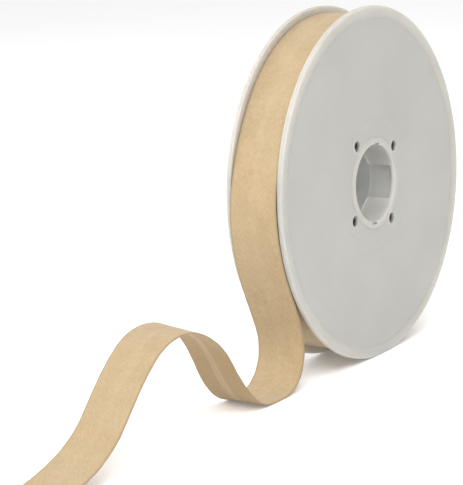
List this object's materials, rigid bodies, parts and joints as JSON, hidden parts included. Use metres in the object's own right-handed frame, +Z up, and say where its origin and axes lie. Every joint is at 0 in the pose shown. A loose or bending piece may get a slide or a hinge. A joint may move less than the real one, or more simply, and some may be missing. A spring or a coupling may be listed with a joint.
{
  "type": "roll of bias binding on a plastic reel",
  "caption": "Folded bias binding wound on a flanged plastic reel, with its loose end run out in a hump on the surface.",
  "frame": {"origin": "middle of the object's footprint, on the surface it stands on, half way between the flanges", "axes": "+X along the reel's axis towards the front flange, -Y the way the loose end runs out, +Z up"},
  "size_m": [0.0248, 0.3262, 0.1397],
  "materials": {
    "reel_plastic": "satin moulded, off-white",
    "binding_fabric": "matt woven cotton cut on the bias, pressed"
  },
  "bodies": {
    "root": {"spool_front": "reel_plastic", "spool_back": "reel_plastic", "binding_roll": "binding_fabric", "binding_tail": "binding_fabric"}
  },
  "joints": []
}
